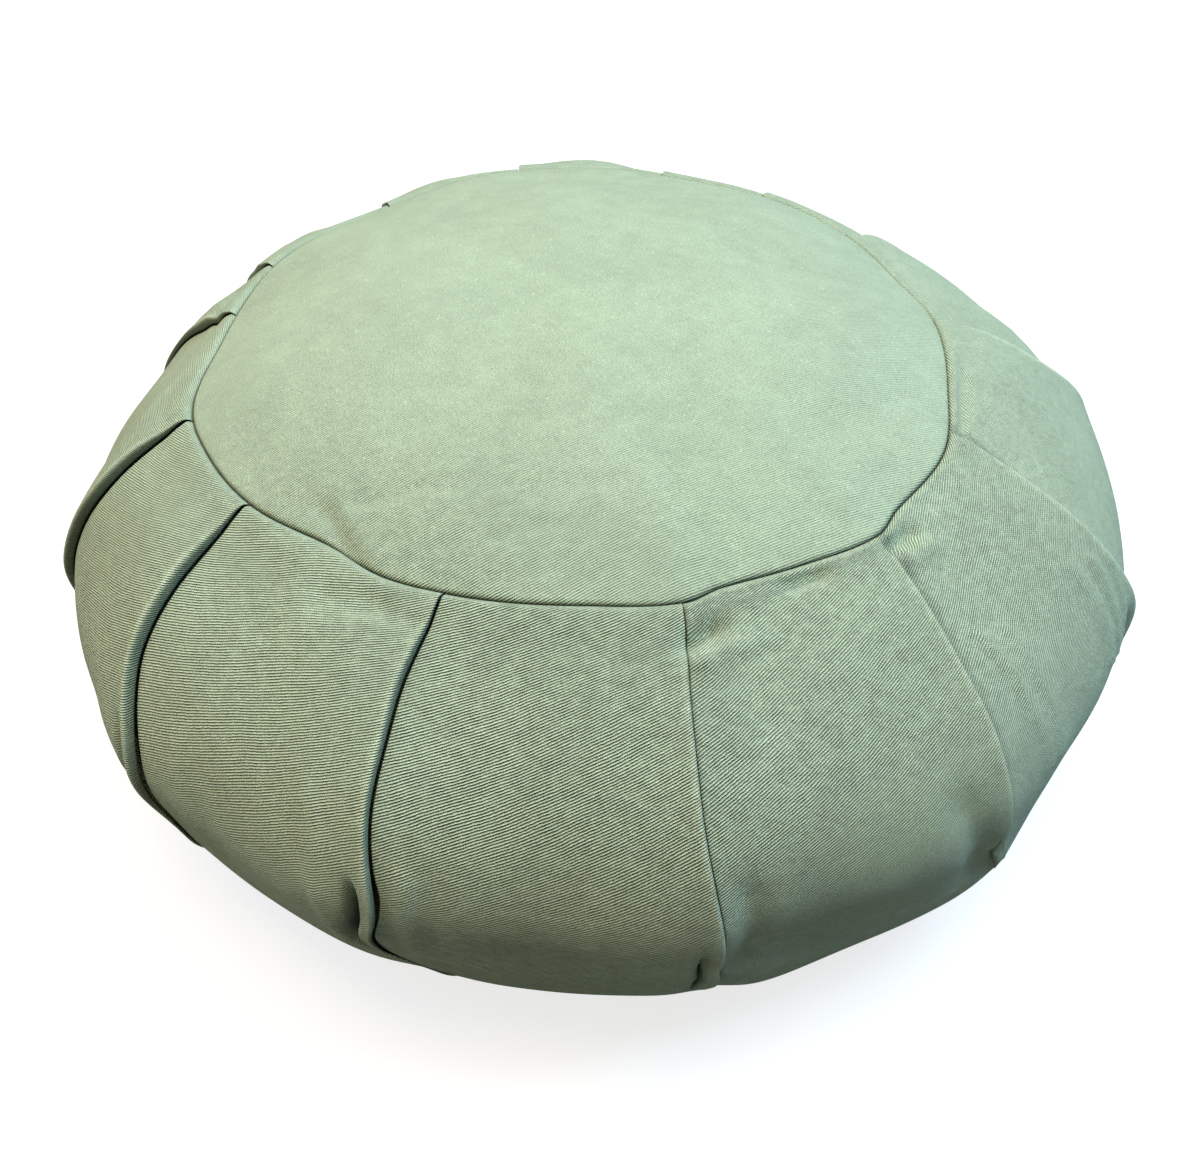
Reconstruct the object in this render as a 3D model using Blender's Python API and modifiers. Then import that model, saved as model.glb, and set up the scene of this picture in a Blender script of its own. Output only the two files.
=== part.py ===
"""A zafu: a round, pleated floor cushion, filled firm, standing on its bottom panel.

Metres, +Z up, the base on z = 0. Azimuth 0 is the front, towards -Y, and it grows counter-clockwise seen
from above. The pleats are knife pleats: each panel of the side ends in a folded edge that lies over the
start of the next one.
"""

import math

import bmesh
import bpy

# ---- driving sizes -------------------------------------------------------------------------------------
BELLY_RADIUS = 0.180          # the widest part of the side
BELLY_HEIGHT = 0.066          # where it is widest
SEAM_RADIUS = 0.1175          # the top seam, a rough circle
SEAM_HEIGHT = 0.1272
CROWN_RISE = 0.021            # the top panel's middle above its seam
CROWN_POWER = 2.6             # 2 is a plain dome, more is flatter in the middle
FLOOR_RADIUS = 0.141          # the side touches the floor from here inwards
BOTTOM_SEAM_RADIUS = 0.122
SHOULDER_POWER = 1.34         # superellipse power above the belly: 1 is a cone, 2 is round
UNDERSIDE_POWER = 2.1         # and below it
BELLY_CENTRE = (0.0049, 0.0)  # so that the whole cushion is centred on the origin
SEAM_SHIFT = (-0.0113, -0.0018)   # the filling has slumped, so the top sits a little to the left
SHEET = 0.0015                # cloth and its seam allowance
GAP = 0.0004                  # between sewn pieces
RECESS = 0.0025               # how deep a round panel sits in its seam

# ---- the pleats ----------------------------------------------------------------------------------------
# One row for each pleat, counter-clockwise from the front. The first four columns are the azimuths, in
# degrees, where the fold crosses the top seam, the shoulder, the belly and the foot. seam_out is how far
# the seam is pulled outwards there and mid_out how far it is halfway to the next pleat, in millimetres.
# lap is how far the fold stands over the next panel and puff how full the panel after the pleat is, also in
# millimetres.
PLEAT_COLUMNS = ("seam", "shoulder", "belly", "foot", "seam_out", "mid_out", "lap", "puff")
PLEAT_ROWS = (
    (12.2, 9.0, 9.1, 8.5, 1.0, -0.5, 4.5, 1.0),
    (39.5, 36.9, 36.2, 42.0, 4.5, 1.5, 4.5, 1.5),
    (64.5, 64.7, 68.9, 71.0, 2.0, -2.0, 4.5, 1.0),
    (94.2, 94.8, 99.0, 99.5, -1.0, -4.0, 5.0, 2.0),
    (124.0, 126.5, 128.0, 128.0, -1.0, -1.0, 4.0, 1.0),
    (144.0, 145.0, 146.0, 146.0, 1.0, 0.0, 4.0, 0.5),
    (164.0, 164.5, 165.0, 165.0, 1.5, 1.0, 4.0, 4.0),
    (191.0, 189.0, 188.0, 188.0, 1.5, 0.5, 4.5, 1.5),
    (217.0, 212.0, 210.0, 210.0, 1.0, 0.0, 4.0, 1.0),
    (244.2, 236.4, 233.0, 233.0, 2.0, 1.0, 4.0, 1.0),
    (259.0, 251.8, 250.0, 250.0, 0.0, -1.5, 5.0, 1.5),
    (287.6, 286.0, 283.0, 282.0, 3.5, 2.0, 5.0, 1.0),
    (309.6, 309.7, 315.0, 315.6, 0.5, -3.0, 5.5, 1.0),
    (342.7, 340.7, 341.7, 341.6, -1.0, -1.2, 5.0, 0.5),
)
PLEATS = [dict(zip(PLEAT_COLUMNS, row)) for row in PLEAT_ROWS]
STATION_AT = {"seam": 0.0, "shoulder": 0.26, "belly": 0.48, "foot": 0.72}
MM = 0.001

# Where the columns of faces stand across a panel, from the crease under one fold (0) to the next fold's
# edge (1). The crease goes under the fold before it by TUCK degrees, and the edge overhangs by as much.
# In the two seams the layers are sewn flat, so there they stand SEWN degrees apart instead.
ACROSS = (0.0, 0.035, 0.25, 0.5, 0.75, 0.93, 1.0)
TUCK = 0.55
SEWN = 0.3
FLATNESS = 0.5                # 0 is a round side, 1 has straight cloth from fold to fold
MEAN_BOW = 0.62               # keeps the side's mean radius when its panels are flattened
EDGE_DROP = 0.55              # share of the lap by which the folded edge turns down
SIDE_ROWS = 17
CROWN_ROWS = 6

TWILL_GREEN = (0.335, 0.42, 0.28)


def smooth(low, high, value):
    """0 below low, 1 above high, and an even curve between."""
    share = min(1.0, max(0.0, (value - low) / (high - low)))
    return share * share * (3.0 - 2.0 * share)


def through(stations, s):
    """A smooth curve through (place, value) stations, read at s."""
    last = len(stations) - 1
    for i in range(last):
        if s <= stations[i + 1][0] or i == last - 1:
            break
    (s0, v0), (s1, v1) = stations[i], stations[i + 1]
    before, after = stations[max(i - 1, 0)], stations[min(i + 2, last)]
    step = s1 - s0
    slope0 = (v1 - before[1]) / (s1 - before[0]) * step
    slope1 = (after[1] - v0) / (after[0] - s0) * step
    t = (s - s0) / step
    return (
        (2 * t**3 - 3 * t**2 + 1) * v0
        + (t**3 - 2 * t**2 + t) * slope0
        + (3 * t**2 - 2 * t**3) * v1
        + (t**3 - t**2) * slope1
    )


def quarter(share, power):
    """A point of a superellipse quarter, from (0, 1) at share 0 to (1, 0) at share 1."""
    angle = share * math.pi / 2
    return math.sin(angle) ** (2 / power), math.cos(angle) ** (2 / power)


def side_outline(steps=240):
    """The side's mean section as (length so far, how far out from seam to belly, height) points."""
    points = []
    for i in range(steps + 1):
        out, up = quarter(i / steps, SHOULDER_POWER)
        points.append((out, BELLY_HEIGHT + (SEAM_HEIGHT - BELLY_HEIGHT) * up, SEAM_RADIUS))
    for i in range(1, steps + 1):
        down, out = quarter(i / steps, UNDERSIDE_POWER)
        points.append((out, BELLY_HEIGHT * (1 - down), FLOOR_RADIUS))
    flat = [(out, height, inner + (BELLY_RADIUS - inner) * out) for out, height, inner in points]
    flat.append((0.0, 0.0, BOTTOM_SEAM_RADIUS))
    length, table = 0.0, []
    for i, (out, height, radius) in enumerate(flat):
        if i:
            length += math.hypot(radius - flat[i - 1][2], height - flat[i - 1][1])
        table.append((length, radius, height))
    return [(place / length, radius, height) for place, radius, height in table]


OUTLINE = side_outline()


def section(s):
    """Radius, height and outward normal (r, z) of the mean section at share s of the way down."""
    for i in range(1, len(OUTLINE)):
        if s <= OUTLINE[i][0] or i == len(OUTLINE) - 1:
            break
    (s0, r0, z0), (s1, r1, z1) = OUTLINE[i - 1], OUTLINE[i]
    t = (s - s0) / max(s1 - s0, 1e-9)
    run = math.hypot(r1 - r0, z1 - z0)
    return r0 + (r1 - r0) * t, z0 + (z1 - z0) * t, -(z1 - z0) / run, (r1 - r0) / run


def pleat_azimuth(index, s):
    """Azimuth in degrees of pleat index at share s down the side; it keeps growing past a full turn."""
    turns, row = divmod(index, len(PLEATS))
    pleat = PLEATS[row]
    stations = [(place, pleat[name]) for name, place in STATION_AT.items()] + [(1.0, pleat["foot"])]
    return 360.0 * turns + through(stations, s)


def seam_pull(panel, across):
    """How far the top seam is pulled out of its circle, across one panel."""
    start, end = PLEATS[panel], PLEATS[(panel + 1) % len(PLEATS)]
    stations = [(0.0, start["seam_out"]), (0.5, start["mid_out"]), (1.0, end["seam_out"])]
    return MM * through(stations, across)


def fold_opening(s):
    """How far the folds stand open at share s down the side: 0 where they are sewn, 1 when free."""
    return smooth(0.0, 0.2, s) * (1.0 - smooth(0.66, 0.86, s))


def column_azimuth(panel, column, s):
    """Azimuth in degrees of a column of faces at share s down the side."""
    start, end = pleat_azimuth(panel, s), pleat_azimuth(panel + 1, s)
    azimuth = start + (end - start) * ACROSS[column]
    under = (SEWN + TUCK) * fold_opening(s) - SEWN
    if column == 0:
        azimuth -= under
    if column == len(ACROSS) - 1:
        azimuth += under
    return azimuth


def chord_height(panel):
    """How far a straight chord across a panel falls short of the round belly."""
    belly = STATION_AT["belly"]
    turn = pleat_azimuth(panel + 1, belly) - pleat_azimuth(panel, belly)
    return BELLY_RADIUS * (1.0 - math.cos(math.radians(turn) / 2))


def stand_out(panel, across, s):
    """How far the cloth stands out of the mean section: the fold's lap and the panel's fullness."""
    start, end = PLEATS[panel], PLEATS[(panel + 1) % len(PLEATS)]
    lap = MM * (end["lap"] * across - start["lap"] * (1.0 - across)) / 2
    bow = 4.0 * across * (1.0 - across)
    fullness = MM * start["puff"] * bow + FLATNESS * chord_height(panel) * (MEAN_BOW - bow)
    free = smooth(0.02, 0.3, s) * (1.0 - smooth(0.6, 0.85, s))
    return lap * fold_opening(s) + fullness * free


def side_point(panel, column, s):
    """A point of the side's outer face: panel and column across it, s down it."""
    across = ACROSS[column]
    lift = stand_out(panel, across, s)
    if column == len(ACROSS) - 1:
        next_panel = (panel + 1) % len(PLEATS)
        lift -= EDGE_DROP * (lift - stand_out(next_panel, 0.0, s))
    radius, height, normal_r, normal_z = section(s)
    radius += normal_r * lift + seam_pull(panel, across) * (1.0 - smooth(0.0, 0.35, s))
    height = max(0.0, height + normal_z * lift)
    return place(radius, column_azimuth(panel, column, s), height)


def place(radius, azimuth, height):
    """Polar to world. The axis leans, because the top has slumped to one side."""
    angle = math.radians(azimuth)
    lean = height / SEAM_HEIGHT
    return (
        BELLY_CENTRE[0] + SEAM_SHIFT[0] * lean + radius * math.sin(angle),
        BELLY_CENTRE[1] + SEAM_SHIFT[1] * lean - radius * math.cos(angle),
        height,
    )


def crown_height(share):
    """Height of the top panel's outer face at share of the way from its middle to the seam."""
    return SEAM_HEIGHT + CROWN_RISE * (1.0 - share**CROWN_POWER)


def seam_ring(panel, column):
    """Radius and azimuth of the top seam at a column."""
    return SEAM_RADIUS + seam_pull(panel, ACROSS[column]), column_azimuth(panel, column, 0.0)


def columns():
    """Every column of faces round the cushion as (panel, column) pairs."""
    return [(panel, column) for panel in range(len(PLEATS)) for column in range(len(ACROSS))]


def filled_rings():
    """The filled body from the crown's middle to the base, a function of (panel, column) for each ring."""
    rings = []
    for i in range(1, CROWN_ROWS + 1):
        share = i / CROWN_ROWS

        def crown(panel, column, share=share):
            radius, azimuth = seam_ring(panel, column)
            return place(radius * share, azimuth, crown_height(share) - RECESS)

        rings.append(crown)
    for i in range(SIDE_ROWS + 1):
        rings.append(lambda panel, column, s=i / SIDE_ROWS: side_point(panel, column, s))

    def under(panel, column):
        x, y, _ = side_point(panel, column, 1.0)
        return x, y, RECESS

    rings.append(under)
    return rings


def reshape_ball(name, rings, top, bottom=None):
    """A ball whose rings are moved to the given ones. With no bottom point only its upper part is kept."""
    around = columns()
    levels = len(rings) + 1
    mesh = bpy.data.meshes.new(name)
    shape = bmesh.new()
    bmesh.ops.create_uvsphere(shape, u_segments=len(around), v_segments=levels, radius=1.0)
    for vertex in list(shape.verts):
        level = round(math.acos(max(-1.0, min(1.0, vertex.co.z))) / math.pi * levels)
        turn = math.atan2(vertex.co.x, -vertex.co.y) / (2 * math.pi) * len(around)
        if level == 0:
            vertex.co = top
        elif level == levels:
            if bottom is None:
                shape.verts.remove(vertex)
            else:
                vertex.co = bottom
        else:
            vertex.co = rings[level - 1](*around[round(turn) % len(around)])
    bmesh.ops.recalc_face_normals(shape, faces=shape.faces)
    shape.to_mesh(mesh)
    shape.free()
    return mesh


def top_panel_mesh():
    """The domed top panel's outer face; it stops short of the side by a gap."""
    rings = []
    for i in range(1, CROWN_ROWS + 1):
        share = i / CROWN_ROWS

        def ring(panel, column, share=share):
            radius, azimuth = seam_ring(panel, column)
            return place((radius - GAP) * share, azimuth, crown_height(share))

        rings.append(ring)
    return reshape_ball("top_panel", rings, top=place(0.0, 0.0, crown_height(0.0)))


def twill(name, colour):
    """The sage green cloth."""
    material = bpy.data.materials.new(name)
    material.use_nodes = True
    shader = material.node_tree.nodes["Principled BSDF"]
    shader.inputs["Base Color"].default_value = (*colour, 1.0)
    shader.inputs["Roughness"].default_value = 0.9
    shader.inputs["Metallic"].default_value = 0.0
    material.diffuse_color = (*colour, 1.0)
    return material


def add_piece(collection, name, mesh, colour):
    """An object for one sewn piece."""
    mesh.materials.append(twill(name + "_twill", colour))
    mesh.shade_smooth()
    mesh.set_sharp_from_angle(angle=math.radians(50))
    piece = bpy.data.objects.new(name, mesh)
    collection.objects.link(piece)
    return piece


def add_pleated_side(collection):
    middle = place(0.0, 0.0, crown_height(0.0) - RECESS)
    x, y, _ = place(0.0, 0.0, 0.0)
    mesh = reshape_ball("pleated_side", filled_rings(), top=middle, bottom=(x, y, RECESS))
    return add_piece(collection, "pleated_side", mesh, TWILL_GREEN)


def add_top_panel(collection):
    piece = add_piece(collection, "top_panel", top_panel_mesh(), TWILL_GREEN)
    thickness = piece.modifiers.new("cloth_thickness", "SOLIDIFY")
    thickness.thickness = SHEET
    thickness.offset = -1.0
    return piece


def add_bottom_panel(collection):
    bpy.ops.mesh.primitive_cylinder_add(
        vertices=len(PLEATS) * 6,
        radius=BOTTOM_SEAM_RADIUS - GAP - TUCK * MM,
        depth=SHEET,
        location=(*BELLY_CENTRE, SHEET / 2),
    )
    piece = bpy.context.active_object
    for owner in list(piece.users_collection):
        owner.objects.unlink(piece)
    piece.name = "bottom_panel"
    piece.data.name = "bottom_panel"
    piece.data.materials.append(twill("bottom_panel_twill", TWILL_GREEN))
    collection.objects.link(piece)
    return piece


def main():
    for old in list(bpy.data.objects):
        bpy.data.objects.remove(old, do_unlink=True)
    collection = bpy.data.collections.new("zafu")
    bpy.context.scene.collection.children.link(collection)
    add_pleated_side(collection)
    add_top_panel(collection)
    add_bottom_panel(collection)


main()
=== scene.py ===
"""The looks of a zafu: a round, pleated floor cushion in sage green cotton twill, filled firm.

Metres, +Z up, the base on z = 0. Azimuth 0 is the front, towards -Y, and it grows counter-clockwise seen
from above. The side is one band of cloth in knife pleats: each panel ends in a folded edge that lies over
the start of the next one. "Down" is the length along the side from the top seam.
"""

import math

import bpy
import numpy as np
from mathutils import Matrix, Vector


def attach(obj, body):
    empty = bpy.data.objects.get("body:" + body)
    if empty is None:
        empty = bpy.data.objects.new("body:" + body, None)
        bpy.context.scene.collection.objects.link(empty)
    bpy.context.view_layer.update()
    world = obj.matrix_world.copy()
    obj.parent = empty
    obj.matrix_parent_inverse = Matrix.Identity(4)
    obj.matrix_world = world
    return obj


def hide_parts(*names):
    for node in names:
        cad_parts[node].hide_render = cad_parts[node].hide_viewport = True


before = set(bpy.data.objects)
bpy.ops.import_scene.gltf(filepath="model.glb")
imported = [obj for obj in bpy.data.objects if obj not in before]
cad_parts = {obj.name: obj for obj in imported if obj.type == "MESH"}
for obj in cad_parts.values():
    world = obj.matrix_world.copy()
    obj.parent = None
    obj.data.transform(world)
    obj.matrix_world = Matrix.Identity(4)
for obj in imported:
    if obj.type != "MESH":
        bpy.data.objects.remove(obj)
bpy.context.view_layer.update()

MM = 0.001

# ---- driving sizes, the same as the frame's ------------
BELLY_RADIUS = 0.180          # the widest part of the side
BELLY_HEIGHT = 0.066          # where it is widest
SEAM_RADIUS = 0.1175          # the top seam, a rough circle
SEAM_HEIGHT = 0.1272
CROWN_RISE = 0.021            # the top panel's middle above its seam
CROWN_POWER = 2.6             # 2 is a plain dome, more is flatter in the middle
FLOOR_RADIUS = 0.141          # the side touches the floor from here inwards
BOTTOM_SEAM_RADIUS = 0.122
SHOULDER_POWER = 1.34         # superellipse power above the belly: 1 is a cone, 2 is round
UNDERSIDE_POWER = 2.1         # and below it
BELLY_ROUNDING = 0.016        # the section's bends are rounded over this length each way
BELLY_CENTRE = (0.0049, 0.0)
SEAM_SHIFT = (-0.0113, -0.0018)   # the filling has slumped, so the top sits a little to the left
SHEET = 0.0015                # cloth and its seam allowance
GAP = 0.0004                  # between sewn pieces
RECESS = 0.0034               # the filled body under a round panel

# ---- the pleats ------------
# One row for each pleat, counter-clockwise from the front. The first four columns are the azimuths, in
# degrees, where the fold crosses the top seam, the shoulder, the belly and the foot. lap is how far the
# fold stands over the next panel, roll how far the cloth turns down before the folded edge and puff how
# full the panel after the pleat is, in millimetres. flat is how straight the cloth of that panel runs from
# fold to fold: 0 is round, 1 is straight. The next column is how black the painted shade makes the crease
# beside the fold, the fold's end and the hollow at its foot, from 0 to 1; swing the degrees that the fold
# swings aside a little way under the seam, and shadow how many millimetres the painted soft shadow beside
# the fold reaches.
PLEAT_COLUMNS = (
    "seam", "shoulder", "belly", "foot", "lap", "roll", "puff", "flat", "painted_dark", "swing", "shadow",
)
PLEAT_ROWS = (
    (12.2, 9.0, 9.1, 8.5, 3.4, 0.35, 1.0, 0.90, 0.4, -0.2, 1.6),
    (39.5, 36.9, 36.2, 42.0, 4.2, 0.30, 1.5, 0.85, 0.6, 0.0, 6.0),
    (64.5, 64.7, 68.9, 71.0, 3.4, 0.35, 1.0, 0.70, 0.65, -0.2, 6.5),
    (94.2, 94.8, 99.0, 99.5, 4.4, 0.8, 2.0, 0.50, 0.5, 0.0, 0.0),
    (124.0, 126.5, 128.0, 128.0, 3.2, 1.0, 1.0, 0.60, 0.9, 0.0, 0.0),
    (144.0, 145.0, 146.0, 146.0, 2.8, 1.0, 0.5, 0.65, 0.9, 0.0, 0.0),
    (164.0, 164.5, 165.0, 165.0, 4.0, 1.0, 4.0, 0.50, 0.9, 0.0, 0.0),
    (191.0, 189.0, 188.0, 188.0, 4.5, 1.0, 1.5, 0.60, 1.0, 0.0, 0.0),
    (217.0, 212.0, 210.0, 210.0, 4.0, 1.0, 1.0, 0.65, 1.0, 0.0, 0.0),
    (244.2, 236.4, 233.0, 233.0, 4.0, 1.1, 1.0, 0.65, 1.0, 0.0, 0.0),
    (259.0, 251.8, 250.0, 250.0, 4.6, 1.1, 1.5, 0.60, 1.0, 0.0, 0.0),
    (287.6, 286.0, 283.0, 282.0, 3.8, 1.1, 1.0, 0.60, 1.0, -0.3, 0.0),
    (309.6, 309.7, 314.6, 313.0, 4.0, 1.1, 1.0, 0.70, 1.0, -0.3, 0.0),
    (342.7, 340.7, 341.7, 341.6, 4.0, 0.8, 0.5, 0.85, 1.0, -0.65, 0.0),
)

# The foot of each pleat, where the fold becomes a rib with a hollow behind it. The hollow starts at "from"
# down the side, is "hollow" deep and lies "behind" the fold's edge; near and far are its half widths
# towards the rib and away from it. There the fold gapes by gape. Beside the rib the next panel opens in a
# lens, "slot" deep, "wider" than the crease, at "slot_at" and "tall" each way. Round "at" the rib bends
# aside by sway degrees, and below that it turns by turn degrees. At "ends" the fold has died out. All but
# the degrees are in millimetres.
FOOT_COLUMNS = (
    "from", "hollow", "behind", "near", "far", "gape", "slot", "wider", "slot_at", "tall", "at", "sway",
    "turn", "ends",
)
FOOT_ROWS = (
    (84.0, 5.0, 4.9, 0.9, 0.8, 0.0, 0.3, 0.2, 92.0, 8.0, 100.0, -0.5, -0.8, 128.0),
    (76.0, 1.1, 8.0, 3.5, 5.0, 0.2, 0.2, 0.2, 88.0, 8.0, 92.0, 0.0, 0.0, 106.0),
    (78.0, 1.8, 7.0, 3.0, 5.0, 0.2, 0.2, 0.2, 88.0, 8.0, 92.0, 0.0, 0.0, 108.0),
    (84.0, 3.4, 5.4, 1.9, 3.4, 0.5, 0.5, 0.8, 90.0, 8.0, 96.0, 0.0, 0.5, 124.0),
    (80.0, 2.8, 5.4, 2.2, 3.4, 0.5, 0.6, 0.7, 86.0, 7.0, 98.0, -0.8, 1.5, 130.0),
    (84.0, 3.2, 5.5, 2.0, 3.5, 0.4, 0.4, 0.6, 90.0, 8.0, 96.0, 0.0, 0.5, 120.0),
    (78.0, 3.2, 5.2, 2.2, 3.4, 0.5, 0.7, 0.7, 84.0, 7.0, 98.0, -0.6, 1.5, 130.0),
    (86.0, 3.4, 5.4, 1.9, 3.2, 0.5, 0.6, 0.8, 92.0, 8.0, 98.0, 0.4, -1.0, 122.0),
    (80.0, 3.0, 5.2, 2.2, 3.2, 0.5, 0.7, 0.6, 86.0, 7.0, 98.0, -0.7, 1.5, 130.0),
    (83.0, 3.2, 5.5, 2.0, 3.5, 0.4, 0.6, 0.6, 90.0, 8.0, 96.0, 0.0, 0.5, 120.0),
    (79.0, 3.4, 5.2, 2.0, 3.2, 0.5, 0.8, 0.7, 86.0, 7.0, 98.0, -0.5, 1.0, 128.0),
    (84.0, 3.6, 5.2, 1.8, 3.2, 0.5, 0.8, 0.8, 90.0, 8.0, 98.0, 0.0, 0.5, 122.0),
    (70.0, 7.0, 5.0, 1.2, 2.0, 0.3, 1.0, 0.6, 88.0, 8.0, 94.0, -0.8, 1.0, 114.0),
    (73.0, 10.0, 5.2, 0.9, 1.8, 0.0, 2.6, 0.7, 79.0, 5.0, 99.0, -1.8, 2.0, 116.0),
)
PLEATS = [
    dict(zip(PLEAT_COLUMNS + FOOT_COLUMNS, row + foot)) for row, foot in zip(PLEAT_ROWS, FOOT_ROWS)
]
STATION_AT = {"seam": 0.0, "shoulder": 0.26, "belly": 0.48, "foot": 0.72}

# How far the top seam is pulled out of its circle, in millimetres, by azimuth in degrees.
SEAM_PULLS = (
    (0.0, -0.9), (12.6, 1.7), (18.0, -0.6), (29.0, 1.2), (40.1, 4.6), (46.0, 2.0), (60.0, 2.2),
    (75.0, -1.8), (95.0, -1.7), (107.0, -4.2), (123.0, -1.7), (144.0, 1.0), (164.0, 1.5),
    (178.0, 1.0), (191.0, 1.5), (217.0, 1.0), (243.0, 2.0), (258.0, -0.5), (270.0, -1.2),
    (285.7, 3.5), (296.0, 2.4), (310.0, 0.4), (324.0, -3.6), (334.0, -1.0), (343.0, -1.1),
)

# Where the filling stands out or, below 0, has sunk: azimuth in degrees and height above the floor, how far
# out, how many degrees wide and how tall, the rest in millimetres.
LUMP_COLUMNS = ("azimuth", "height", "out", "degrees", "tall")
LUMP_ROWS = (
    (20.0, 92.0, 6.0, 50.0, 24.0),
    (7.0, 52.0, -2.6, 22.0, 14.0),
    (258.0, 106.0, -3.6, 10.0, 22.0),
    (244.0, 112.0, -2.8, 8.0, 20.0),
    (274.0, 88.0, -3.2, 7.0, 18.0),
    (198.0, 124.0, 3.0, 12.0, 14.0),
    (176.0, 124.0, 4.4, 8.0, 14.0),
    (159.0, 120.0, -3.0, 7.0, 18.0),
    (142.0, 118.0, -2.6, 7.0, 20.0),
    (126.0, 108.0, -1.5, 7.0, 20.0),
    (105.0, 100.0, 1.8, 6.0, 22.0),
    (94.0, 90.0, 0.4, 8.0, 22.0),
    (65.0, 68.0, -4.0, 8.0, 25.0),
    (46.0, 46.0, -3.2, 9.0, 22.0),
    (37.0, 60.0, -2.0, 4.0, 16.0),
    (36.0, 32.0, 1.2, 5.0, 14.0),
    (7.8, 30.0, -2.2, 3.0, 14.0),
    (341.5, 32.0, -2.4, 4.5, 18.0),
    (309.0, 50.0, -1.8, 5.0, 16.0),
    (318.0, 33.0, 2.2, 7.0, 12.0),
    (302.0, 71.0, -1.2, 5.0, 12.0),
    (318.0, 46.0, -0.8, 5.0, 20.0),
    (300.0, 66.0, 1.2, 9.0, 30.0),
)
LUMPS = [dict(zip(LUMP_COLUMNS, row)) for row in LUMP_ROWS]

# Creases of the side band, from (azimuth, down) to (azimuth, down). out is above 0 for a ridge and below 0
# for a trough; wide is its half width. Degrees and millimetres.
CREASE_COLUMNS = ("azimuth", "down", "to_azimuth", "to_down", "out", "wide")
CREASE_ROWS = (
    (328.0, 12.0, 334.4, 8.5, -1.1, 4.0),      # dimples under the seam's kink
    (334.4, 8.5, 340.0, 9.0, -0.9, 3.5),
    (322.0, 7.0, 327.0, 20.0, 0.7, 5.0),
    (12.2, 11.0, 14.4, 9.6, -3.8, 2.7),        # beside the front pleat's top
    (12.8, 16.0, 18.0, 15.5, 1.5, 2.8),
    (67.0, 4.0, 79.0, 6.0, -1.6, 1.6),
    (25.4, 4.6, 29.6, 4.2, -3.4, 2.0),
    (40.6, 4.6, 44.0, 6.4, -3.8, 2.1),         # beside the next pleat's top
    (41.0, 10.0, 45.0, 13.0, 1.5, 2.4),
    (49.0, 5.0, 55.0, 3.5, -0.9, 2.6),
    (65.0, 2.5, 84.0, 5.0, -1.1, 1.6),         # a tuck along the seam
    (97.0, 6.0, 123.0, 6.0, -1.8, 5.0),
    (58.6, 50.0, 59.2, 84.0, 1.1, 1.9),        # soft upright folds beside the right-hand pleats
    (61.8, 54.0, 62.0, 88.0, 1.2, 1.8),
    (64.4, 60.0, 64.2, 86.0, 0.7, 2.0),
    (42.4, 40.0, 43.6, 84.0, 1.3, 1.8),
    (45.6, 44.0, 46.4, 86.0, 0.9, 2.2),
    (31.4, 74.0, 33.4, 106.0, -1.6, 5.0),
    (335.0, 60.0, 336.6, 84.0, 0.7, 3.0),      # behind the fold left of the middle
    (335.8, 84.0, 336.8, 104.0, 1.0, 3.0),
    (333.6, 66.0, 334.6, 92.0, -0.8, 3.0),
    (343.6, 74.0, 343.2, 100.0, 0.9, 3.0),     # ripples in front of it
    (345.8, 72.0, 345.4, 94.0, -0.7, 3.0),
    (11.6, 76.0, 11.2, 104.0, -1.6, 4.0),
    (318.6, 70.0, 320.4, 104.0, 0.8, 4.0),
    (322.6, 72.0, 323.4, 100.0, -0.6, 4.0),
    (150.0, 30.0, 152.0, 80.0, 0.8, 6.0),      # the back, in the same manner
    (172.0, 12.0, 184.0, 16.0, -1.0, 4.0),
    (200.0, 20.0, 203.0, 70.0, -0.8, 6.0),
    (229.0, 16.0, 232.0, 60.0, 0.9, 5.0),
    (251.0, 9.0, 257.0, 12.0, -1.0, 3.5),
    (271.0, 10.0, 277.0, 22.0, 0.8, 4.0),
    (108.0, 60.0, 110.0, 96.0, 0.8, 4.0),
    (133.0, 66.0, 134.0, 100.0, -0.9, 4.0),
)
CREASES = [dict(zip(CREASE_COLUMNS, row)) for row in CREASE_ROWS]

# Creases of the top panel, in the same way, from (x, y) to (x, y) in millimetres.
TOP_CREASE_COLUMNS = ("x", "y", "to_x", "to_y", "out", "wide")
TOP_CREASE_ROWS = (
    (-65.0, -101.0, -75.5, -84.0, -0.9, 2.2),  # from the seam's kink
    (-60.5, -100.0, -71.0, -83.0, 0.7, 2.6),
    (-76.0, -84.0, -50.0, -83.5, -0.5, 2.4),   # a long faint crease
    (-50.0, -83.5, 6.0, -86.5, -0.45, 2.8),
    (-40.0, -101.0, -15.0, -97.0, -0.45, 2.6),
    (-40.0, 100.0, -20.0, 96.0, -1.3, 7.0),    # the trough inside the back rim
    (-20.0, 96.0, 18.0, 86.0, -1.3, 7.0),
    (60.0, -62.0, 92.0, -40.0, -0.5, 8.0),
    (20.0, -30.0, 70.0, 20.0, 0.5, 22.0),
    (-70.0, 20.0, -40.0, 60.0, -0.5, 18.0),
)
TOP_CREASES = [dict(zip(TOP_CREASE_COLUMNS, row)) for row in TOP_CREASE_ROWS]

# How far the top seam is pulled up, in millimetres, by azimuth in degrees.
SEAM_RISES = (
    (0.0, 0.0), (140.0, 0.0), (158.0, -0.6), (172.0, 1.2), (190.0, 2.0), (201.0, 2.2), (211.0, 0.2),
    (222.0, -0.6), (240.0, 0.0), (258.0, -0.8), (275.0, 0.0), (320.0, 0.0),
)

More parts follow.
